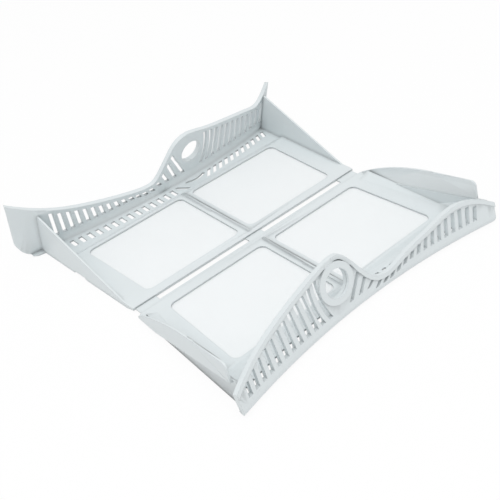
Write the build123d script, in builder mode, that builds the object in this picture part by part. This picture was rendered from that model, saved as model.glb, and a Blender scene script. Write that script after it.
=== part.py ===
import math
import os

from build123d import *

# Tumble dryer lint filter, lying open like a book, in millimetres.
# X runs along the hinge. The rear leaf lies towards +Y and the front leaf towards -Y.
# The sizes below are measured from the middle of the hinge. The files are written with the origin
# on the resting plane, under the middle of the whole filter.

REAR = 1
FRONT = -1

# Film hinge: a strip between two film lines, with a long opening on each side of the middle bridge
STRIP_WIDTH = 9.4
STRIP_LENGTH = 262.0
STRIP_THICK = 1.2
STRIP_BAR = 3.6
FILM_GAP = 0.4
AXIS_RISE = 0.3
MIDDLE_BRIDGE = 18.0
END_BRIDGE = 21.0

# Leaf floor, lifted off the table and stepping down to the foot of the grille wall
FLOOR_THICK = 2.4
FLOOR_LIFT = 2.1
HINGE_HALF_WIDTH = 132.9
SIDE_TAPER = 0.05
STEP_PLACE = 107.5
STEP_RUN = 5.0
STEP_LAP = 1.0

# Mesh windows, two to a leaf, with a ridged rib between them
WINDOW_NEAR = 14.6
WINDOW_FAR = 104.9
WINDOW_SIDE_MARGIN = 22.5
WINDOW_CORNER = 6.5
RIB_WIDTH = 12.4
REBATE_LIP = 1.6
REBATE_DEPTH = 0.9
MESH_THICK = 0.6
MESH_CLEARANCE = 0.1
RIDGE_WIDTH = 2.4
RIDGE_HEIGHT = 1.5
RIDGE_START = 9.0
RIDGE_STEP_PLACE = 62.0
RIDGE_STEP = 1.4

# Grille wall: leans over the floor and bows towards the hinge in plan
WALL_FOOT = 135.9
WALL_LEAN = 15.5
WALL_THICK = 3.4
WALL_TOP = 90.0
BAND_THICK = 1.8
BOW_RADIUS = 677.0
FOOT_RADIUS = 6.2
FOOT_LAP = 1.0
WALL_END = 138.7
FRONT_TAB_REACH = 145.5
FRONT_TAB_CORNER = 8.0
REAR_TAB_REACH = 159.0
STUB_REACH = 141.2
RAIL_HEIGHT = 3.6
RAIL_STAND = 1.2

# Closing: half the wedge between the closed leaves, and the gap left between their rims
HALF_WEDGE = 13.2
RIM_CLEARANCE = 0.8

# Finger ring
RING_PLACE = 28.4
RING_HEIGHT = 34.9
RING_HOLE = 12.0
COLLAR_RADIUS = 17.5
COLLAR_STAND = 2.5

# Slots of the upright grille, on the ring's side and on the low side of the S-shaped rim
SLOT_WIDTH = 4.2
SLOT_FOOT = 12.4
SLOT_LOWEST_FOOT = 8.2
SLOT_SHORTEST = 4.6
SLOT_MARGIN = 1.2
SLOT_LEAST_BULGE = 2.1
RING_SLOTS = 12
RING_SLOT_PLACE = 44.5
RING_SLOT_PITCH = 8.2
RING_SLOT_LEAN = 6.0
RING_SLOT_BULGE = 2.6
RING_SLOT_FADE = 9
LOW_SLOTS = 18
LOW_SLOT_PLACE = 10.7
LOW_SLOT_PITCH = 8.0
LOW_SLOT_LEAN = 2.7
LOW_SLOT_TURN = 11.7
LOW_SLOT_FADE = 1.7

# Slots of the floor band
FLOOR_SLOT_LENGTH = 11.0
FLOOR_SLOT_WIDTH = 4.2
FLOOR_SLOT_PITCH = 8.6
FLOOR_SLOT_MARGIN = 1.4
FAN_SLOTS = 11
FAN_SLOT_PLACE = 44.0
FAN_SLANT = 9.0
FAN_END_SLANT = 4.6
STRAIGHT_SLOTS = 14
STRAIGHT_SLOT_PLACE = -3.0
TURN_SLOT_PLACE = 8.2
CURVED_SLOT_RADIUS = 24.0
CURVED_SLOT_WIDTH = 3.0
CURVED_SLOT_SWEEP = 60.0

# Side walls: the front ones carry an outer flap above a ledge, which the rear ones slide behind
SIDE_THICK = 1.8
SIDE_CLEARANCE = 0.6
SIDE_START = 6.0
SIDE_TOE = 15.0
REAR_SIDE_START = 19.0
REAR_SIDE_SLOPE = 0.349
FRONT_LEDGE_START = 31.0
FRONT_LEDGE_SLOPE = 0.185
FLAP_START = 6.0
FLAP_END = 131.0
FLAP_END_SLANT = 3.0
FLAP_CORNER = 4.5
NOTCH_PLACE = 74.0
NOTCH_LENGTH = 19.0
NOTCH_SLOPE = 3.0
NOTCH_DEPTH = 2.6
RAMP_WIDTH = 11.0
RAMP_HEIGHT = 6.0
RAMP_END = 104.0
RAMP_TIP = 0.2

# Sizes worked out from the ones above
AXIS_Y = (STRIP_WIDTH + FILM_GAP) / 2
EDGE_Y = STRIP_WIDTH / 2 + FILM_GAP
AXIS_Z = FLOOR_LIFT + STRIP_THICK + AXIS_RISE
FLOOR_TOP = FLOOR_LIFT + FLOOR_THICK
LEAN = math.radians(WALL_LEAN)
WEDGE = math.radians(HALF_WEDGE)
BOW_CENTRE = WALL_FOOT + BOW_RADIUS
WALL_OFFSET = WALL_FOOT * math.cos(LEAN)
FOOT_CENTRE = (WALL_OFFSET - FOOT_RADIUS * (1 + math.sin(LEAN))) / math.cos(LEAN)
BEYOND = WALL_FOOT + WALL_TOP
BEYOND_ANGLE = math.asin(BEYOND / BOW_RADIUS)
END_ANGLE = math.asin(WALL_END / BOW_RADIUS)

# Where the closed rims meet, as (place along the hinge, distance past the closing plane).
# The front rim follows this S-curve and the rear rim is its counterpart, apart from the right end,
# where the two part to leave a gap. The curves run on past the ends of the walls at a steady slope.
PARTING = [
    (-150, -20), (-122, -5), (-80, 8), (-42, 16.8), (-29, 18.9), (-19, 18), (-11, 10.5), (0, -5.8),
    (11, -18.5), (21, -22), (42, -18), (80, -9.2), (100, -4.6),
]
RIGHT_END = {FRONT: [(114, -4.9), (136, -13)], REAR: [(114, -1), (127, 1), (135, -4), (141, -12)]}
RIGHT_SLOPE = {FRONT: -0.8, REAR: -1.3}
LEFT_SLOPE = 0.77
RIM_OVERRUN = 12.0

# Top edge of the front flap, as (distance from the hinge, height)
FLAP_TOP = [(FLAP_START, FLOOR_TOP), (50, 24.4), (90, 33), (FLAP_END, 38.6)]

os.makedirs("parts", exist_ok=True)


def half_width(reach):
    """Half width over the side walls at a distance from the middle of the hinge."""
    return HINGE_HALF_WIDTH + SIDE_TAPER * reach


def bow(x):
    """How far the grille wall lies behind its middle at x."""
    return BOW_RADIUS - math.sqrt(BOW_RADIUS**2 - x**2)


def wall_reach(x, z):
    """Distance from the hinge to the outer face of the grille wall."""
    return WALL_FOOT + bow(x) - z * math.tan(LEAN)


def tab(side, hand):
    """Reach and corner height of the tab on the right (1) or left (-1). The rear ones are square."""
    if side == FRONT:
        return FRONT_TAB_REACH, FRONT_TAB_CORNER
    return (STUB_REACH, 0) if hand == 1 else (REAR_TAB_REACH, 0)


def rim_curve(side, drop):
    """Rim points of a leaf in its closing plane, lowered by drop across the rim."""
    sign = -side
    first_x, first_past = PARTING[0]
    last_x, last_past = RIGHT_END[side][-1]
    left = -max(tab(FRONT, -1)[0], tab(REAR, -1)[0]) - RIM_OVERRUN
    right = max(tab(FRONT, 1)[0], tab(REAR, 1)[0]) + RIM_OVERRUN
    left_end = (left, first_past + LEFT_SLOPE * (left - first_x))
    right_end = (right, last_past + RIGHT_SLOPE[side] * (right - last_x))
    parting = [left_end, *PARTING, *RIGHT_END[side], right_end]
    points = []
    for i, (x, past) in enumerate(parting):
        before = parting[max(i - 1, 0)]
        after = parting[min(i + 1, len(parting) - 1)]
        slope = sign * (after[1] - before[1]) / (after[0] - before[0])
        length = math.hypot(1, slope)
        points.append((x + drop * slope / length, sign * past - RIM_CLEARANCE / 2 - drop / length))
    return points


def rim_height(side, x):
    """Height of a leaf's rim above the resting plane, on straight lines between the rim points."""
    points = rim_curve(side, 0)
    for (x0, n0), (x1, n1) in zip(points, points[1:]):
        if x0 <= x <= x1:
            past = n0 + (n1 - n0) * (x - x0) / (x1 - x0)
            fold = AXIS_Y + AXIS_Z * math.cos(WEDGE) - AXIS_Y * math.sin(WEDGE)
            level = past + fold + wall_reach(x, 0) * math.sin(WEDGE)
            return level / (math.cos(WEDGE) + math.tan(LEAN) * math.sin(WEDGE))
    return 0.0


def closing_plane(side):
    """Plane across a leaf's wall whose local y is the distance past the closing plane."""
    across = Vector(0, -side * math.sin(WEDGE), math.cos(WEDGE))
    along = Vector(0, side * math.cos(WEDGE), math.sin(WEDGE))
    origin = Vector(0, side * AXIS_Y, AXIS_Z) + across * AXIS_Y + along * WALL_FOOT
    return Plane(origin=origin, x_dir=(1, 0, 0), z_dir=Vector(1, 0, 0).cross(across))


def bow_axis(side):
    """Upright axis that the grille wall bows about."""
    return Axis((0, side * BOW_CENTRE, 0), (0, 0, 1))


def bow_plane(side, angle):
    """Upright plane through the bow axis, angle before the middle, local x running from the axis."""
    outward = Vector(-side * math.sin(angle), -side * math.cos(angle), 0)
    return Plane(origin=(0, side * BOW_CENTRE, 0), x_dir=outward, z_dir=outward.cross(Vector(0, 0, 1)))


def from_bow(reach, z):
    """Point of a wall section, given by its distance from the hinge, in the bow plane."""
    return (BOW_CENTRE - reach, z)


def wall_face(shift, z):
    """Point of the wall's section, shifted outwards from its outer face."""
    return from_bow(WALL_FOOT + shift / math.cos(LEAN) - z * math.tan(LEAN), z)


def foot_point(radius, angle):
    """Point of the rounded foot of the wall, angle 0 pointing outwards."""
    return from_bow(FOOT_CENTRE + radius * math.cos(angle), FOOT_RADIUS + radius * math.sin(angle))


def ring_plane(side):
    """Plane of the wall's outer face at the finger ring, facing outwards."""
    centre = (side * RING_PLACE, side * wall_reach(RING_PLACE, RING_HEIGHT), RING_HEIGHT)
    return Plane(origin=centre, x_dir=(1, 0, 0), z_dir=(0, side * math.cos(LEAN), math.sin(LEAN)))


def side_plane(side, hand):
    """Upright plane of the outer face of a side wall, local x running away from the hinge."""
    along = Vector(hand * SIDE_TAPER, side, 0).normalized()
    return Plane(origin=(hand * HINGE_HALF_WIDTH, 0, 0), x_dir=along, z_dir=along.cross(Vector(0, 0, 1)))


def inwards(side, hand, depth):
    """Extrusion amount from a side plane towards the middle of the filter."""
    return -side * hand * depth


def leaf_points(side):
    """Outline of a leaf between the outer faces of its side walls, running on past the grille wall."""
    return [
        (half_width(0), 0),
        (half_width(BEYOND), side * BEYOND),
        (-half_width(BEYOND), side * BEYOND),
        (-half_width(0), 0),
    ]


def window_points(side, hand, grow):
    """Corners of a mesh window, grown all round by grow."""
    near = WINDOW_NEAR - grow
    far = WINDOW_FAR + grow
    inner = RIB_WIDTH / 2 - grow
    margin = WINDOW_SIDE_MARGIN - grow
    corners = [
        (inner, near),
        (half_width(near) - margin, near),
        (half_width(far) - margin, far),
        (inner, far),
    ]
    return [(hand * x, side * v) for x, v in corners]


def grille_slots(side):
    """Slots of the upright grille as (foot x, foot z, top x, top z, bulge)."""
    slots = []
    for i in range(RING_SLOTS):
        spread = max(0, 1 - i / RING_SLOT_FADE)
        middle = RING_SLOT_PLACE + RING_SLOT_PITCH * i
        slots.append((middle, -RING_SLOT_LEAN * spread, RING_SLOT_BULGE * spread))
    for i in range(LOW_SLOTS):
        middle = LOW_SLOT_PLACE - LOW_SLOT_PITCH * i
        slots.append((middle, LOW_SLOT_LEAN + LOW_SLOT_TURN * math.exp(-i / LOW_SLOT_FADE), 0))
    placed = []
    for middle, lean, bulge in slots:
        top_x = side * (middle - lean / 2)
        top_z = rim_height(side, top_x) - RAIL_HEIGHT - SLOT_MARGIN
        foot_z = max(SLOT_LOWEST_FOOT, min(SLOT_FOOT, top_z - SLOT_SHORTEST))
        if top_z - foot_z > SLOT_WIDTH / 2:
            placed.append((side * (middle + lean / 2), foot_z, top_x, top_z, side * bulge))
    return placed


def floor_slots(side):
    """Slots of the floor band as (hinge end x, wall end x), fanning out beside the finger ring."""
    slots = [(TURN_SLOT_PLACE + FAN_SLANT / 2, TURN_SLOT_PLACE - FAN_SLANT / 2)]
    for i in range(FAN_SLOTS):
        middle = FAN_SLOT_PLACE + FLOOR_SLOT_PITCH * i
        slant = FAN_SLANT + (FAN_END_SLANT - FAN_SLANT) * i / (FAN_SLOTS - 1)
        slots.append((middle - slant / 2, middle + slant / 2))
    for i in range(STRAIGHT_SLOTS):
        middle = STRAIGHT_SLOT_PLACE - FLOOR_SLOT_PITCH * i
        slots.append((middle, middle))
    return [(side * near, side * far) for near, far in slots]


def side_end(slope, level):
    """Where a side wall's sloping top edge meets the grille wall."""
    reach = WALL_FOOT + bow(half_width(WALL_FOOT))
    z = (level + slope * reach) / (1 + slope * math.tan(LEAN))
    return (reach - z * math.tan(LEAN), z)


def side_outline(side, slope, start):
    """Outline of a side wall in its plane: from the hinge along the table to the foot, and back on top."""
    back = FOOT_CENTRE + bow(half_width(WALL_FOOT))
    middle = FOOT_RADIUS - BAND_THICK / 2
    under = [(SIDE_START, FLOOR_LIFT), (SIDE_TOE, 0)]
    if side == REAR:
        notch_end = NOTCH_PLACE + NOTCH_LENGTH
        under += [(NOTCH_PLACE, 0), (NOTCH_PLACE + NOTCH_SLOPE, NOTCH_DEPTH)]
        under += [(notch_end - NOTCH_SLOPE, NOTCH_DEPTH), (notch_end, 0)]
    foot = [(back - FOOT_LAP, 0)]
    for turn in (-math.pi / 2, -math.pi / 4, 0):
        foot.append((back + middle * math.cos(turn), FOOT_RADIUS + middle * math.sin(turn)))
    over = [side_end(slope, FLOOR_TOP - slope * start), (start, FLOOR_TOP), (SIDE_START, FLOOR_TOP)]
    return under + foot + over


def wall_section():
    """Section of the grille wall in the bow plane, with its rounded foot and flat inside corner."""
    middle = (LEAN - math.pi / 2) / 2
    corner = WALL_FOOT - WALL_THICK / math.cos(LEAN) - BAND_THICK * math.tan(LEAN)
    with BuildSketch() as section:
        with BuildLine():
            foot = ThreePointArc(
                foot_point(FOOT_RADIUS, -math.pi / 2),
                foot_point(FOOT_RADIUS, middle),
                foot_point(FOOT_RADIUS, LEAN),
            )
            Polyline(
                foot @ 1,
                wall_face(0, WALL_TOP),
                wall_face(-WALL_THICK, WALL_TOP),
                from_bow(corner, BAND_THICK),
                from_bow(FOOT_CENTRE - FOOT_LAP, BAND_THICK),
                from_bow(FOOT_CENTRE - FOOT_LAP, 0),
                foot @ 0,
            )
        make_face()
    return section.sketch


def rail_section():
    """Section of the rail in the bow plane, level with the wall inside and proud of it outside."""
    with BuildSketch() as section:
        with BuildLine():
            Polyline(
                wall_face(RAIL_STAND, FOOT_RADIUS),
                wall_face(RAIL_STAND, WALL_TOP),
                wall_face(-WALL_THICK, WALL_TOP),
                wall_face(-WALL_THICK, FOOT_RADIUS),
                close=True,
            )
        make_face()
    return section.sketch


def bowed(side, section):
    """A section carried round the bow and then straight on along the tabs."""
    with BuildPart() as body:
        with BuildSketch(bow_plane(side, END_ANGLE)):
            add(section)
        revolve(axis=bow_axis(side), revolution_arc=math.degrees(2 * END_ANGLE))
        for hand in (1, -1):
            away = -side * hand
            length = (tab(side, hand)[0] - WALL_END) / math.cos(END_ANGLE)
            with BuildSketch(bow_plane(side, away * END_ANGLE)):
                add(section)
            extrude(amount=away * length)
    return body.part


def grille_wall(side):
    """Leaning wall, cut along the underside of its rail, slotted, rounded at the front tabs and ringed."""
    whole = bowed(side, wall_section())
    tab_start = half_width(WALL_FOOT + bow(HINGE_HALF_WIDTH))
    with BuildPart() as wall:
        add(whole)
        with BuildSketch(closing_plane(side)):
            with BuildLine():
                rim = Spline(*rim_curve(side, RAIL_HEIGHT))
                Polyline(rim @ 1, (BEYOND, BEYOND), (-BEYOND, BEYOND), rim @ 0)
            make_face()
        extrude(amount=WALL_TOP, both=True, mode=Mode.SUBTRACT)
        with BuildSketch(Plane.XZ):
            half = SLOT_WIDTH / 2
            for foot_x, foot_z, top_x, top_z, bulge in grille_slots(side):
                mid_x = (foot_x + top_x) / 2 + bulge
                mid_z = (foot_z + top_z) / 2
                with BuildLine():
                    for edge in (-half, half):
                        foot = (foot_x + edge, foot_z)
                        top = (top_x + edge, top_z)
                        if abs(bulge) > SLOT_LEAST_BULGE:
                            ThreePointArc(foot, (mid_x + edge, mid_z), top)
                        else:
                            Line(foot, top)
                    Line((foot_x - half, foot_z), (foot_x + half, foot_z))
                    Line((top_x - half, top_z), (top_x + half, top_z))
                make_face()
            for hand in (1, -1):
                reach, corner = tab(side, hand)
                if corner:
                    tip = hand * reach * (1 + corner * math.tan(LEAN) / BOW_RADIUS)
                    with BuildLine():
                        turn = Bezier((hand * tab_start, 0), (tip, 0), (tip, corner))
                        Polyline(turn @ 1, (hand * BEYOND, corner), (hand * BEYOND, -corner))
                        Polyline((hand * BEYOND, -corner), (hand * tab_start, -corner), turn @ 0)
                    make_face()
        extrude(amount=-side * BEYOND, mode=Mode.SUBTRACT)
        ring = ring_plane(side)
        with BuildSketch(ring):
            Circle(COLLAR_RADIUS)
        extrude(amount=COLLAR_STAND)
        with BuildSketch(ring):
            Circle(RING_HOLE)
        extrude(amount=COLLAR_RADIUS, both=True, mode=Mode.SUBTRACT)
    return wall.part


def grille_rail(side):
    """Rail along the rim of a grille wall, proud of its outer face."""
    whole = bowed(side, rail_section())
    with BuildPart() as rail:
        add(whole)
        with BuildSketch(closing_plane(side)):
            with BuildLine():
                upper = Spline(*rim_curve(side, 0))
                lower = Spline(*rim_curve(side, RAIL_HEIGHT))
                Line(upper @ 0, lower @ 0)
                Line(upper @ 1, lower @ 1)
            make_face()
        extrude(amount=WALL_TOP, both=True, mode=Mode.INTERSECT)
    return rail.part


def leaf_floor(side):
    """Floor of a leaf with its step down to the grille foot, windows, mesh rebates, slots and rib ridge."""
    step_end = STEP_PLACE + STEP_RUN
    with BuildPart() as floor:
        with BuildSketch(Plane.YZ):
            with BuildLine():
                Polyline(
                    (side * EDGE_Y, FLOOR_LIFT),
                    (side * STEP_PLACE, FLOOR_LIFT),
                    (side * step_end, 0),
                    (side * BEYOND, 0),
                    (side * BEYOND, BAND_THICK),
                    (side * (step_end + STEP_LAP), BAND_THICK),
                    (side * (STEP_PLACE + STEP_LAP), FLOOR_TOP),
                    (side * EDGE_Y, FLOOR_TOP),
                    close=True,
                )
            make_face()
        extrude(amount=2 * HINGE_HALF_WIDTH, both=True)
        with BuildSketch(Plane.XY):
            with BuildLine():
                Polyline(*leaf_points(side), close=True)
            make_face()
        extrude(amount=FLOOR_TOP, mode=Mode.INTERSECT)
        with BuildSketch(bow_plane(side, BEYOND_ANGLE)):
            with BuildLine():
                cut = FOOT_CENTRE - FOOT_LAP / 2
                Polyline(
                    from_bow(cut, -FLOOR_TOP),
                    from_bow(cut, FLOOR_TOP),
                    from_bow(cut + BEYOND, FLOOR_TOP),
                    from_bow(cut + BEYOND, -FLOOR_TOP),
                    close=True,
                )
            make_face()
        revolve(axis=bow_axis(side), revolution_arc=math.degrees(2 * BEYOND_ANGLE), mode=Mode.SUBTRACT)
        with BuildSketch(Plane.XY):
            half = FLOOR_SLOT_WIDTH / 2
            for near_x, far_x in floor_slots(side):
                far_v = FOOT_CENTRE - FLOOR_SLOT_MARGIN + bow(far_x)
                near_v = far_v - FLOOR_SLOT_LENGTH
                with BuildLine():
                    Polyline(
                        (near_x - half, side * near_v),
                        (near_x + half, side * near_v),
                        (far_x + half, side * far_v),
                        (far_x - half, side * far_v),
                        close=True,
                    )
                make_face()
            centre_v = FOOT_CENTRE - FLOOR_SLOT_MARGIN - CURVED_SLOT_WIDTH + CURVED_SLOT_RADIUS
            centre = (side * RING_PLACE, side * centre_v)
            start = -90 * side - CURVED_SLOT_SWEEP / 2
            half = CURVED_SLOT_WIDTH / 2
            with BuildLine():
                near = CenterArc(centre, CURVED_SLOT_RADIUS + half, start, CURVED_SLOT_SWEEP)
                far = CenterArc(centre, CURVED_SLOT_RADIUS - half, start, CURVED_SLOT_SWEEP)
                Line(near @ 0, far @ 0)
                Line(near @ 1, far @ 1)
            make_face()
        extrude(amount=FLOOR_TOP, mode=Mode.SUBTRACT)
        for hand in (1, -1):
            with BuildSketch(Plane.XY) as window:
                with BuildLine():
                    Polyline(*window_points(side, hand, 0), close=True)
                make_face()
                fillet(window.vertices(), WINDOW_CORNER)
            extrude(amount=FLOOR_TOP, mode=Mode.SUBTRACT)
            with BuildSketch(Plane.XY.offset(FLOOR_LIFT)):
                with BuildLine():
                    Polyline(*window_points(side, hand, REBATE_LIP), close=True)
                make_face()
            extrude(amount=REBATE_DEPTH, mode=Mode.SUBTRACT)
        with BuildSketch(Plane.XY.offset(FLOOR_TOP)):
            with BuildLine():
                narrow = RIDGE_WIDTH / 2
                wide = narrow + RIDGE_STEP
                Polyline(
                    (narrow, side * RIDGE_START),
                    (narrow, side * STEP_PLACE),
                    (-wide, side * STEP_PLACE),
                    (-wide, side * RIDGE_STEP_PLACE),
                    (-narrow, side * RIDGE_STEP_PLACE),
                    (-narrow, side * RIDGE_START),
                    close=True,
                )
            make_face()
        extrude(amount=RIDGE_HEIGHT)
    return floor.part


def mesh_panel(side, hand):
    """Flat mesh panel that fills the rebate under a window."""
    grow = REBATE_LIP - MESH_CLEARANCE
    with BuildPart() as panel:
        with BuildSketch(Plane.XY.offset(FLOOR_LIFT + REBATE_DEPTH - MESH_THICK)):
            with BuildLine():
                Polyline(*window_points(side, hand, grow), close=True)
            make_face()
        extrude(amount=MESH_THICK)
    return panel.part


def ramp_section(hand, reach, width, height):
    """Slope in the corner between the front floor and a side wall, across the leaf."""
    wall_x = half_width(reach) - SIDE_THICK / 2
    return [
        (hand * wall_x, FLOOR_TOP - SIDE_THICK),
        (hand * (wall_x - width), FLOOR_TOP - SIDE_THICK),
        (hand * (wall_x - width), FLOOR_TOP),
        (hand * wall_x, FLOOR_TOP + height),
    ]


rear_floor = leaf_floor(REAR)
rear_grille = grille_wall(REAR)
rear_rail = grille_rail(REAR)
front_floor = leaf_floor(FRONT)
front_grille = grille_wall(FRONT)
front_rail = grille_rail(FRONT)

with BuildPart() as rear_leaf:
    add(rear_floor)
    add(rear_grille)
    add(rear_rail)
    for hand in (1, -1):
        with BuildSketch(side_plane(REAR, hand)):
            with BuildLine():
                Polyline(*side_outline(REAR, REAR_SIDE_SLOPE, REAR_SIDE_START), close=True)
            make_face()
        extrude(amount=inwards(REAR, hand, SIDE_THICK))

with BuildPart() as front_leaf:
    add(front_floor)
    add(front_grille)
    add(front_rail)
    ledge_end = FLOOR_TOP + FRONT_LEDGE_SLOPE * (FLAP_END + FLAP_END_SLANT - FRONT_LEDGE_START)
    flap_foot = [
        (FLAP_END + FLAP_END_SLANT, ledge_end - SIDE_THICK),
        (FRONT_LEDGE_START, FLOOR_TOP - SIDE_THICK),
        (FLAP_START, FLOOR_LIFT),
    ]
    ledge_top = [
        (FLAP_START, FLOOR_TOP),
        (FRONT_LEDGE_START, FLOOR_TOP),
        (FLAP_END + FLAP_END_SLANT, ledge_end),
    ]
    for hand in (1, -1):
        with BuildSketch(side_plane(FRONT, hand)):
            with BuildLine():
                Polyline(*side_outline(FRONT, FRONT_LEDGE_SLOPE, FRONT_LEDGE_START), close=True)
            make_face()
        extrude(amount=inwards(FRONT, hand, SIDE_THICK))
        with BuildSketch(side_plane(FRONT, hand)):
            with BuildLine():
                Polyline(*flap_foot, *ledge_top, close=True)
            make_face()
        extrude(amount=inwards(FRONT, hand, -SIDE_CLEARANCE - SIDE_THICK))
        with BuildSketch(side_plane(FRONT, hand).offset(inwards(FRONT, hand, -SIDE_CLEARANCE))) as flap:
            with BuildLine():
                flap_top = ThreePointArc(*FLAP_TOP[:3])
                Polyline(flap_top @ 1, FLAP_TOP[3], *flap_foot, flap_top @ 0)
            make_face()
            fillet(flap.vertices().sort_by(Axis.Y)[-1], FLAP_CORNER)
        extrude(amount=inwards(FRONT, hand, -SIDE_THICK))
        for reach, width, height in ((SIDE_TOE, RAMP_WIDTH, RAMP_HEIGHT), (RAMP_END, RAMP_TIP, RAMP_TIP)):
            with BuildSketch(Plane.XZ.offset(reach)):
                with BuildLine():
                    Polyline(*ramp_section(hand, reach, width, height), close=True)
                make_face()
        loft()

with BuildPart() as hinge_strip:
    with BuildSketch(Plane.XY.offset(FLOOR_LIFT)):
        with Locations((0, (STRIP_BAR - STRIP_WIDTH) / 2)):
            Rectangle(STRIP_LENGTH, STRIP_BAR)
        Rectangle(MIDDLE_BRIDGE, STRIP_WIDTH)
        with Locations(((STRIP_LENGTH - END_BRIDGE) / 2, 0), ((END_BRIDGE - STRIP_LENGTH) / 2, 0)):
            Rectangle(END_BRIDGE, STRIP_WIDTH)
    extrude(amount=STRIP_THICK)

rear_box = rear_leaf.part.bounding_box()
front_box = front_leaf.part.bounding_box()
left = min(rear_box.min.X, front_box.min.X)
right = max(rear_box.max.X, front_box.max.X)
to_middle = Location((-(left + right) / 2, 0, 0))

rear_leaf.part.label = "rear_leaf"
front_leaf.part.label = "front_leaf"
hinge_strip.part.label = "hinge_strip"
export_step(rear_leaf.part.moved(to_middle), "parts/rear_leaf.step")
export_step(front_leaf.part.moved(to_middle), "parts/front_leaf.step")
export_step(hinge_strip.part.moved(to_middle), "parts/hinge_strip.step")

for side, leaf in ((FRONT, "front"), (REAR, "rear")):
    for hand, place in ((-1, "left"), (1, "right")):
        panel = mesh_panel(side, hand)
        panel.label = f"{leaf}_mesh_{place}"
        export_step(panel.moved(to_middle), f"parts/{leaf}_mesh_{place}.step")
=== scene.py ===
"""Looks of a hinged tumble dryer lint filter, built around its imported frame."""

import math

import bmesh
import bpy
from mathutils import Matrix, Vector


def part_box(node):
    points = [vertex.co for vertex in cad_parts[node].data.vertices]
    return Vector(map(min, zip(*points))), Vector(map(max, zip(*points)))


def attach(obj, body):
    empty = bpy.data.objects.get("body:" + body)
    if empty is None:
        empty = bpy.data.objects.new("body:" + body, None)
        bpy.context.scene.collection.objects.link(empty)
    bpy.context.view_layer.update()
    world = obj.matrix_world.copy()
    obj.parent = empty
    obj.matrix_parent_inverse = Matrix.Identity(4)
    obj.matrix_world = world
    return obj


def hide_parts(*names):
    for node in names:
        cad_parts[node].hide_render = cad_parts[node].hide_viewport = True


bl_info = {
    "name": "Lint Filter Looks",
    "version": (1, 0, 0),
    "blender": (4, 5, 0),
    "location": "View3D > Sidebar > Lint Filter",
    "description": "Satin plastic, woven mesh windows and a studio stage for a lint filter",
    "category": "Object",
}

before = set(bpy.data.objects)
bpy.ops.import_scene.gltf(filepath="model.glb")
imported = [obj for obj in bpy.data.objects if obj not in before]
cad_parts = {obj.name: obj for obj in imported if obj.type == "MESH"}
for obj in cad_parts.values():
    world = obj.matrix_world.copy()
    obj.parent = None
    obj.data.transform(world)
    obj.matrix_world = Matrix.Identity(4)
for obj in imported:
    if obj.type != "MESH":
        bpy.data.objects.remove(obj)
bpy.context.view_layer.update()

LEAVES = ("front", "rear")
PLACES = ("left", "right")

# Ends of the grilles: points closer than this are one, depth of a tab's end face, sharp edges, rear tab
WELD_DISTANCE = 1e-6
END_FACE_DEPTH = 0.0005
SHARP_EDGE_DEGREES = 24.0
REAR_TAB_DIRECTION = (-0.979, 0.205, 0.0)

# Plastic: broad clouds of colour and gloss, fine grain, and samples for edges and for the painted shade
# in slots and corners
CLOUD_SCALE = 26.0
CLOUD_DETAIL = 2.0
CLOUD_PALEST = 1.02
CLOUD_DARKEST = 0.975
CLOUD_MIDDLE = 0.5
CLOUD_GLOSS = 0.08
GRAIN_SCALE = 1900.0
GRAIN_DETAIL = 1.0
GRAIN_STRENGTH = 0.08
PLASTIC_IOR = 1.49
EDGE_SAMPLES = 4
PAINTED_SHADE_SAMPLES = 8

# Woven mesh: rise of a thread over its neighbour, crispness of its edges, and uneven slack
THREAD_RISE = 0.5
THREAD_CRISPNESS = 4.0
THREAD_STRENGTH = 0.3
THREAD_ROUGHNESS = 0.5
SLACK_SCALE = 34.0
SLACK_DETAIL = 2.0
SLACK_DARKEST = 0.97
SLACK_ROUGHNESS = 0.1
PANEL_COLUMNS = 56
PANEL_ROWS = 46

# Ripple of a stretched mesh: for each wave its run along the panel, across it, and with the seed
RIPPLE_WAVES = ((5.1, 2.3, 1.0), (-4.4, 3.7, 2.1))

# Height of the grain and of the threads in the bump shading
BUMP_HEIGHT = 0.0001

# Stage: film width, and the floor's half width, drop, grey and share of plain white
FILM_WIDTH = 36.0
FLOOR_HALF_WIDTH = 3.0
FLOOR_DROP = 0.0002
FLOOR_GREY = (0.9, 0.9, 0.9, 1.0)
FLOOR_WHITENESS = 0.93
WHITE = (1.0, 1.0, 1.0, 1.0)


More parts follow.
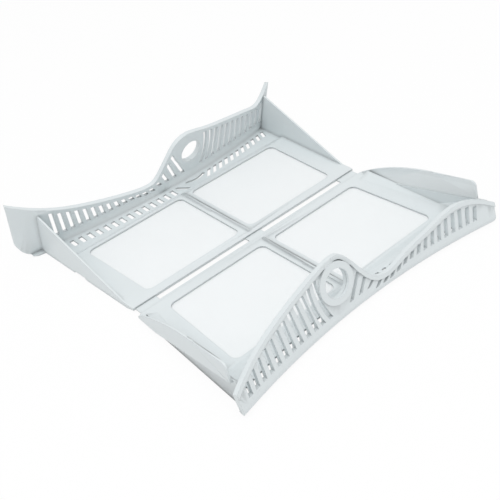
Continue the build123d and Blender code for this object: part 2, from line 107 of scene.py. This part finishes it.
class FilterFinish(bpy.types.PropertyGroup):
    """Colours and surface of the filter."""

    plastic_colour: bpy.props.FloatVectorProperty(
        name="Plastic colour",
        description="Colour of the moulded frame, as a display colour",
        subtype="COLOR_GAMMA",
        size=3,
        min=0.0,
        max=1.0,
        default=(0.858, 0.884, 0.891),
    )
    plastic_roughness: bpy.props.FloatProperty(
        name="Plastic roughness",
        description="Roughness of the satin moulded surface",
        subtype="FACTOR",
        min=0.0,
        max=1.0,
        default=0.42,
    )
    edge_radius: bpy.props.FloatProperty(
        name="Edge radius",
        description="Radius that the moulded edges are softened by",
        unit="LENGTH",
        min=0.0,
        default=0.0005,
    )
    # Painted shade: ambient occlusion within this distance darkens the plastic's colour in slots and
    # corners
    painted_shade_depth: bpy.props.FloatProperty(
        name="Painted shade depth",
        description="How near another surface has to be for painted shade to darken the plastic between them",
        unit="LENGTH",
        min=0.0001,
        default=0.0042,
    )
    # Painted shade: how strongly the plastic's colour is darkened where shade falls in slots and
    # corners
    painted_shade_share: bpy.props.FloatProperty(
        name="Painted shade share",
        description="How much the painted shade in the slots and corners darkens the plastic",
        subtype="FACTOR",
        min=0.0,
        max=1.0,
        default=0.5,
    )
    mesh_colour: bpy.props.FloatVectorProperty(
        name="Mesh colour",
        description="Colour of the woven threads, as a display colour",
        subtype="COLOR_GAMMA",
        size=3,
        min=0.0,
        max=1.0,
        default=(0.935, 0.95, 0.955),
    )
    thread_pitch: bpy.props.FloatProperty(
        name="Thread pitch",
        description="Distance between neighbouring threads of the mesh",
        unit="LENGTH",
        min=0.0001,
        default=0.0007,
    )
    thread_share: bpy.props.FloatProperty(
        name="Thread share",
        description="Width of a thread as a share of the thread pitch",
        subtype="FACTOR",
        min=0.1,
        max=0.95,
        default=0.66,
    )
    mesh_ripple: bpy.props.FloatProperty(
        name="Mesh ripple",
        description="How far the stretched mesh wanders from flat",
        unit="LENGTH",
        min=0.0,
        default=0.00012,
    )


class FilterForm(bpy.types.PropertyGroup):
    """Rounded ends of the grille walls."""

    tab_length: bpy.props.FloatProperty(
        name="Tab length",
        description="How far the rounded lower edge of the rear tab runs inwards from its tip",
        unit="LENGTH",
        min=0.0,
        default=0.019,
    )
    tab_rise: bpy.props.FloatProperty(
        name="Tab rise",
        description="Height at which the rounding of the rear tab meets its end",
        unit="LENGTH",
        min=0.0,
        default=0.03,
    )
    tab_flare: bpy.props.FloatProperty(
        name="Tab flare",
        description="How much further out the rear tab reaches at its foot than at its rim",
        unit="LENGTH",
        min=0.0,
        default=0.0036,
    )
    end_length: bpy.props.FloatProperty(
        name="End length",
        description="How far the rounded ends of the front grille run inwards",
        unit="LENGTH",
        min=0.0,
        default=0.006,
    )
    end_rise: bpy.props.FloatProperty(
        name="End rise",
        description="Height at which the rounded ends of the front grille meet its end faces",
        unit="LENGTH",
        min=0.0,
        default=0.011,
    )
    rounding_steps: bpy.props.IntProperty(
        name="Rounding steps",
        description="Number of flats in each rounded corner",
        min=3,
        default=16,
    )


class FilterStage(bpy.types.PropertyGroup):
    """Camera and light."""

    surround: bpy.props.FloatProperty(
        name="Surround",
        description="Strength of the even light from all round",
        min=0.0,
        default=0.71,
    )
    key_power: bpy.props.FloatProperty(
        name="Key power",
        description="Power of the large soft lamp overhead",
        subtype="POWER",
        min=0.0,
        default=10.0,
    )
    key_place: bpy.props.FloatVectorProperty(
        name="Key place",
        description="Where the soft lamp hangs",
        subtype="TRANSLATION",
        unit="LENGTH",
        size=3,
        default=(-0.3, -0.35, 1.4),
    )
    key_size: bpy.props.FloatProperty(
        name="Key size",
        description="Width of the soft lamp",
        unit="LENGTH",
        min=0.01,
        default=1.3,
    )
    camera_place: bpy.props.FloatVectorProperty(
        name="Camera place",
        description="Where the camera stands",
        subtype="TRANSLATION",
        unit="LENGTH",
        size=3,
        default=(-0.33414, -0.4581, 0.4210),
    )
    camera_azimuth: bpy.props.FloatProperty(
        name="Camera azimuth",
        description="Turn of the view away from +Y towards +X",
        subtype="ANGLE",
        unit="ROTATION",
        default=math.radians(36.0),
    )
    camera_elevation: bpy.props.FloatProperty(
        name="Camera elevation",
        description="How steeply the camera looks down",
        subtype="ANGLE",
        unit="ROTATION",
        default=math.radians(37.1),
    )
    camera_roll: bpy.props.FloatProperty(
        name="Camera roll",
        description="Turn of the camera about its line of sight",
        subtype="ANGLE",
        unit="ROTATION",
        default=math.radians(9.42),
    )
    focal_length: bpy.props.FloatProperty(
        name="Focal length",
        description="Focal length on a 36 mm wide frame",
        subtype="DISTANCE_CAMERA",
        default=56.63,
    )


class LintFilterSettings(bpy.types.PropertyGroup):
    """Everything that a user would change."""

    finish: bpy.props.PointerProperty(
        name="Finish",
        description="Colours and surface of the filter",
        type=FilterFinish,
    )
    form: bpy.props.PointerProperty(
        name="Form",
        description="Rounded ends of the grille walls",
        type=FilterForm,
    )
    stage: bpy.props.PointerProperty(
        name="Stage",
        description="Camera and light",
        type=FilterStage,
    )


def settings():
    """The scene's lint filter settings."""
    return bpy.context.scene.lint_filter


def linear(colour):
    """A display colour as the linear values that a shader takes."""
    return [c / 12.92 if c <= 0.04045 else ((c + 0.055) / 1.055) ** 2.4 for c in colour]


class Shade:
    """A shader socket that can be used in Python expressions."""

    def __init__(self, tree, socket):
        self.tree = tree
        self.socket = socket

    def math(self, operation, *others, swap=False):
        """A Math node on this value and up to two others."""
        values = [self, *others]
        if swap:
            values.reverse()
        return node(self.tree, "ShaderNodeMath", {"operation": operation}, dict(enumerate(values)))

    def __add__(self, other):
        return self.math("ADD", other)

    def __radd__(self, other):
        return self.math("ADD", other)

    def __sub__(self, other):
        return self.math("SUBTRACT", other)

    def __rsub__(self, other):
        return self.math("SUBTRACT", other, swap=True)

    def __mul__(self, other):
        return self.math("MULTIPLY", other)

    def __rmul__(self, other):
        return self.math("MULTIPLY", other)


def node(tree, kind, options=None, inputs=None, output=0):
    """Adds a node, sets its options, then its inputs by name or number, and wraps one output."""
    made = tree.nodes.new(kind)
    for name, value in (options or {}).items():
        setattr(made, name, value)
    for name, value in (inputs or {}).items():
        socket = made.inputs[name]
        if isinstance(value, Shade):
            tree.links.new(value.socket, socket)
        else:
            socket.default_value = value
    return Shade(tree, made.outputs[output]) if made.outputs else made


def noise(tree, place, scale, detail):
    """A noise texture at a place."""
    return node(tree, "ShaderNodeTexNoise", inputs={"Vector": place, "Scale": scale, "Detail": detail})


def new_material(name):
    """An empty node material and its tree."""
    material = bpy.data.materials.new(name)
    material.use_nodes = True
    material.node_tree.nodes.clear()
    return material, material.node_tree


def close_material(tree, surface):
    """Links a shader to the material's output."""
    node(tree, "ShaderNodeOutputMaterial", inputs={"Surface": surface})


def plastic_material():
    """Satin moulded plastic with fine grain, slightly uneven gloss, and painted shade darkening its
    slots and corners.
    """
    finish = settings().finish
    material, tree = new_material("satin_plastic")
    place = node(tree, "ShaderNodeTexCoord", output="Object")
    cloud = noise(tree, place, CLOUD_SCALE, CLOUD_DETAIL)
    grain = noise(tree, place, GRAIN_SCALE, GRAIN_DETAIL)
    base = linear(finish.plastic_colour)
    light = [min(1.0, c * CLOUD_PALEST) for c in base] + [1.0]
    dark = [c * CLOUD_DARKEST for c in base] + [1.0]
    colour = node(
        tree,
        "ShaderNodeMix",
        {"data_type": "RGBA"},
        {"Factor": cloud, 6: dark, 7: light},
        output=2,
    )
    # Painted shade: ambient occlusion darkens the colour in narrow slots and corners, where shade falls
    openness = node(
        tree,
        "ShaderNodeAmbientOcclusion",
        {"samples": PAINTED_SHADE_SAMPLES},
        {"Distance": finish.painted_shade_depth},
        output="AO",
    )
    # The plastic's colour with the painted shade of slots and corners multiplied in
    painted_shade_colour = node(
        tree,
        "ShaderNodeMix",
        {"data_type": "RGBA", "blend_type": "MULTIPLY"},
        {"Factor": 1.0, 6: colour, 7: 1.0 - finish.painted_shade_share * (1.0 - openness)},
        output=2,
    )
    rounded = node(
        tree,
        "ShaderNodeBevel",
        {"samples": EDGE_SAMPLES},
        {"Radius": finish.edge_radius},
    )
    bump = node(
        tree,
        "ShaderNodeBump",
        inputs={
            "Strength": GRAIN_STRENGTH,
            "Distance": BUMP_HEIGHT,
            "Height": grain,
            "Normal": rounded,
        },
    )
    surface = node(
        tree,
        "ShaderNodeBsdfPrincipled",
        inputs={
            "Base Color": painted_shade_colour,
            "Roughness": finish.plastic_roughness + CLOUD_GLOSS * (cloud - CLOUD_MIDDLE),
            "IOR": PLASTIC_IOR,
            "Normal": bump,
        },
    )
    close_material(tree, surface)
    return material


def mesh_material():
    """Plain woven mesh: threads passing over and under each other, open in the squares between them."""
    finish = settings().finish
    material, tree = new_material("woven_mesh")
    place = node(tree, "ShaderNodeTexCoord", output="Object")
    x = node(tree, "ShaderNodeSeparateXYZ", inputs={"Vector": place}, output="X")
    y = node(tree, "ShaderNodeSeparateXYZ", inputs={"Vector": place}, output="Y")
    half_turn = math.pi / finish.thread_pitch
    warp = (x * (2 * half_turn)).math("COSINE")
    weft = (y * (2 * half_turn)).math("COSINE")
    over = (x * half_turn).math("COSINE") * (y * half_turn).math("COSINE")
    height = (warp + THREAD_RISE * over).math("MAXIMUM", weft - THREAD_RISE * over)
    edge = math.cos(math.pi * finish.thread_share)
    inside = (warp.math("MAXIMUM", weft) - edge) * THREAD_CRISPNESS
    cover = inside.math("MINIMUM", 1.0).math("MAXIMUM", 0.0)
    slack = noise(tree, place, SLACK_SCALE, SLACK_DETAIL)
    base = linear(finish.mesh_colour)
    colour = node(
        tree,
        "ShaderNodeMix",
        {"data_type": "RGBA"},
        {"Factor": slack, 6: [c * SLACK_DARKEST for c in base] + [1.0], 7: base + [1.0]},
        output=2,
    )
    bump = node(
        tree,
        "ShaderNodeBump",
        inputs={"Strength": THREAD_STRENGTH, "Distance": BUMP_HEIGHT, "Height": height},
    )
    surface = node(
        tree,
        "ShaderNodeBsdfPrincipled",
        inputs={
            "Base Color": colour,
            "Roughness": THREAD_ROUGHNESS + SLACK_ROUGHNESS * slack,
            "Alpha": cover,
            "Normal": bump,
        },
    )
    close_material(tree, surface)
    return material


def panel_corners(part):
    """The four corners of a mesh panel in turn, at the middle of its thickness."""
    points = [part.matrix_world @ vertex.co for vertex in part.data.vertices]
    middle = sum(points, Vector()) / len(points)
    plan = {(round(p.x, 6), round(p.y, 6)) for p in points}
    if len(plan) != 4:
        raise RuntimeError(f"{part.name} is not a four-cornered panel")
    turned = sorted(plan, key=lambda p: math.atan2(p[1] - middle.y, p[0] - middle.x))
    return [Vector((x, y, middle.z)) for x, y in turned]


def ripple(u, v, seed):
    """A smooth unevenness from -1 to 1 that dies away at the edges of a stretched mesh."""
    waves = sum(math.sin(along * u + across * v + turn * seed) for along, across, turn in RIPPLE_WAVES)
    return waves / len(RIPPLE_WAVES) * math.sin(math.pi * u) * math.sin(math.pi * v)


def woven_panel(name, part):
    """A stretched sheet of mesh between a panel's four corners."""
    low_left, low_right, high_right, high_left = panel_corners(part)
    height = settings().finish.mesh_ripple
    seed = sum(part.name.encode())
    shape = bmesh.new()
    grid = []
    for row in range(PANEL_ROWS + 1):
        v = row / PANEL_ROWS
        left = low_left.lerp(high_left, v)
        right = low_right.lerp(high_right, v)
        line = []
        for column in range(PANEL_COLUMNS + 1):
            u = column / PANEL_COLUMNS
            point = left.lerp(right, u)
            point.z += height * ripple(u, v, seed)
            line.append(shape.verts.new(point))
        grid.append(line)
    for below, above in zip(grid, grid[1:]):
        for column in range(PANEL_COLUMNS):
            corners = (below[column], below[column + 1], above[column + 1], above[column])
            shape.faces.new(corners).smooth = True
    mesh = bpy.data.meshes.new(name)
    shape.to_mesh(mesh)
    shape.free()
    panel = bpy.data.objects.new(name, mesh)
    bpy.context.scene.collection.objects.link(panel)
    return panel


def flare_end(shape, along, flare, leftmost):
    """Slides a left tab's end face out, most at its foot and never past the leaf's leftmost place."""
    furthest = max(vertex.co.dot(along) for vertex in shape.verts)
    end = [vertex for vertex in shape.verts if vertex.co.dot(along) > furthest - END_FACE_DEPTH]
    top = max(vertex.co.z for vertex in end)
    for vertex in end:
        vertex.co += along * flare * (1.0 - vertex.co.z / top)
        vertex.co.x = max(vertex.co.x, leftmost)


def round_lower_corner(shape, hand, tip, length, rise, steps):
    """Trims the lower corner of a wall's end along a quarter ellipse, and closes each cut."""
    for step in range(steps):
        angle = (step + 0.5) / steps * math.pi / 2
        sine = math.sin(angle)
        cosine = math.cos(angle)
        place = Vector((tip - hand * length * (1.0 - sine), 0.0, rise * (1.0 - cosine)))
        outward = Vector((hand * sine / length, 0.0, -cosine / rise)).normalized()
        cut = bmesh.ops.bisect_plane(
            shape,
            geom=[*shape.verts, *shape.edges, *shape.faces],
            dist=WELD_DISTANCE,
            plane_co=place,
            plane_no=outward,
            clear_outer=True,
        )
        rim = [item for item in cut["geom_cut"] if isinstance(item, bmesh.types.BMEdge)]
        if rim:
            bmesh.ops.triangle_fill(shape, use_beauty=True, edges=rim, normal=outward)


def leaf_with_round_ends(leaf):
    """A leaf's moulding as the frame has it, with the lower corners of its grille ends rounded."""
    form = settings().form
    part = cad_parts[f"{leaf}_leaf"]
    low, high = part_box(f"{leaf}_leaf")
    shape = bmesh.new()
    shape.from_mesh(part.data)
    bmesh.ops.remove_doubles(shape, verts=shape.verts, dist=WELD_DISTANCE)
    steps = form.rounding_steps
    if leaf == "rear":
        flare_end(shape, Vector(REAR_TAB_DIRECTION).normalized(), form.tab_flare, low[0])
        round_lower_corner(shape, -1, low[0], form.tab_length, form.tab_rise, steps)
    else:
        round_lower_corner(shape, -1, low[0], form.end_length, form.end_rise, steps)
        round_lower_corner(shape, 1, high[0], form.end_length, form.end_rise, steps)
    mesh = bpy.data.meshes.new(f"{leaf}_moulding")
    shape.to_mesh(mesh)
    shape.free()
    mesh.polygons.foreach_set("use_smooth", [True] * len(mesh.polygons))
    mesh.set_sharp_from_angle(angle=math.radians(SHARP_EDGE_DEGREES))
    moulding = bpy.data.objects.new(f"{leaf}_moulding", mesh)
    bpy.context.scene.collection.objects.link(moulding)
    return moulding


class LINT_OT_moulding(bpy.types.Operator):
    """Give the leaves and the hinge strip their satin plastic, and round the ends of the grilles"""

    bl_idname = "lint_filter.moulding"
    bl_label = "Moulded Frame"

    def execute(self, context):
        plastic = plastic_material()
        for leaf in LEAVES:
            moulding = leaf_with_round_ends(leaf)
            moulding.data.materials.append(plastic)
            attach(moulding, leaf)
            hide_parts(f"{leaf}_leaf")
        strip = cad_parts["hinge_strip"]
        strip.data.materials.clear()
        strip.data.materials.append(plastic)
        return {"FINISHED"}


class LINT_OT_meshes(bpy.types.Operator):
    """Stretch a woven mesh across each window"""

    bl_idname = "lint_filter.meshes"
    bl_label = "Mesh Windows"

    def execute(self, context):
        weave = mesh_material()
        for leaf in LEAVES:
            for place in PLACES:
                node_name = f"{leaf}_mesh_{place}"
                panel = woven_panel(f"{leaf}_weave_{place}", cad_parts[node_name])
                panel.data.materials.append(weave)
                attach(panel, leaf)
                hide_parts(node_name)
        return {"FINISHED"}


def make_camera():
    """Camera at the photograph's viewing angle."""
    stage = settings().stage
    azimuth = stage.camera_azimuth
    elevation = stage.camera_elevation
    forward = Vector(
        (
            math.sin(azimuth) * math.cos(elevation),
            math.cos(azimuth) * math.cos(elevation),
            -math.sin(elevation),
        )
    )
    level = Vector((math.cos(azimuth), -math.sin(azimuth), 0.0))
    upward = level.cross(forward)
    right = level * math.cos(stage.camera_roll) - upward * math.sin(stage.camera_roll)
    top = right.cross(forward)
    data = bpy.data.cameras.new("camera")
    data.sensor_width = FILM_WIDTH
    data.lens = stage.focal_length
    camera = bpy.data.objects.new("camera", data)
    turned = Matrix((right, top, -forward)).transposed().to_4x4()
    camera.matrix_world = Matrix.Translation(stage.camera_place) @ turned
    bpy.context.scene.collection.objects.link(camera)
    bpy.context.scene.camera = camera


def make_lamp(name, place, aim, size, power):
    """A soft square lamp facing a point."""
    data = bpy.data.lights.new(name, "AREA")
    data.shape = "SQUARE"
    data.size = size
    data.energy = power
    lamp = bpy.data.objects.new(name, data)
    lamp.location = place
    lamp.rotation_mode = "QUATERNION"
    lamp.rotation_quaternion = (Vector(aim) - Vector(place)).to_track_quat("-Z", "Y")
    bpy.context.scene.collection.objects.link(lamp)


def seen_directly(tree):
    """1 for rays from the camera, from a reflection or through a clear material, otherwise 0."""
    seen = node(tree, "ShaderNodeLightPath", output="Is Camera Ray")
    for path in ("Is Glossy Ray", "Is Transmission Ray"):
        seen = seen.math("MAXIMUM", node(tree, "ShaderNodeLightPath", output=path))
    return seen


def make_world(strength):
    """Even soft light, and plain white where the backdrop itself is seen."""
    world = bpy.data.worlds.new("studio")
    world.use_nodes = True
    tree = world.node_tree
    tree.nodes.clear()
    seen = seen_directly(tree)
    glow = node(tree, "ShaderNodeBackground", inputs={"Color": WHITE, "Strength": strength})
    white = node(tree, "ShaderNodeBackground", inputs={"Color": WHITE, "Strength": 1.0})
    both = node(tree, "ShaderNodeMixShader", inputs={0: seen, 1: glow, 2: white})
    node(tree, "ShaderNodeOutputWorld", inputs={"Surface": both})
    bpy.context.scene.world = world


def make_floor():
    """Plain pale floor, nearly white where it is seen, with the filter's shadow on it."""
    mesh = bpy.data.meshes.new("floor")
    shape = bmesh.new()
    bmesh.ops.create_grid(shape, x_segments=1, y_segments=1, size=FLOOR_HALF_WIDTH)
    shape.to_mesh(mesh)
    shape.free()
    floor = bpy.data.objects.new("floor", mesh)
    floor.location = (0, 0, -FLOOR_DROP)
    bpy.context.scene.collection.objects.link(floor)
    material, tree = new_material("floor_white")
    matte = node(tree, "ShaderNodeBsdfDiffuse", inputs={"Color": FLOOR_GREY})
    white = node(tree, "ShaderNodeEmission", inputs={"Color": WHITE, "Strength": 1.0})
    whitened = FLOOR_WHITENESS * seen_directly(tree)
    close_material(tree, node(tree, "ShaderNodeMixShader", inputs={0: whitened, 1: matte, 2: white}))
    mesh.materials.append(material)


class LINT_OT_stage(bpy.types.Operator):
    """Set up the floor, the light and the camera"""

    bl_idname = "lint_filter.stage"
    bl_label = "Studio Stage"

    def execute(self, context):
        context.scene.view_settings.view_transform = "Standard"
        make_camera()
        stage = settings().stage
        make_world(stage.surround)
        make_lamp("key", stage.key_place, (0, 0, 0), stage.key_size, stage.key_power)
        make_floor()
        return {"FINISHED"}


class LINT_PT_panel(bpy.types.Panel):
    """Lists the settings and the steps that dress the filter"""

    bl_idname = "LINT_PT_panel"
    bl_label = "Lint Filter"
    bl_space_type = "VIEW_3D"
    bl_region_type = "UI"
    bl_category = "Lint Filter"

    def draw(self, context):
        layout = self.layout
        chosen = context.scene.lint_filter
        for group in (chosen.finish, chosen.form, chosen.stage):
            for name in group.__annotations__:
                layout.prop(group, name)
        for step in STEPS:
            layout.operator(step.bl_idname)


STEPS = (LINT_OT_moulding, LINT_OT_meshes, LINT_OT_stage)
CLASSES = (FilterFinish, FilterForm, FilterStage, LintFilterSettings, *STEPS, LINT_PT_panel)


def register():
    """Registers the classes and the scene's settings."""
    for item in CLASSES:
        bpy.utils.register_class(item)
    bpy.types.Scene.lint_filter = bpy.props.PointerProperty(type=LintFilterSettings)


def unregister():
    """Takes the settings and the classes away again."""
    del bpy.types.Scene.lint_filter
    for item in reversed(CLASSES):
        bpy.utils.unregister_class(item)


def main():
    """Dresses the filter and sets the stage."""
    register()
    bpy.ops.lint_filter.moulding()
    bpy.ops.lint_filter.meshes()
    bpy.ops.lint_filter.stage()


if __name__ == "__main__":
    main()
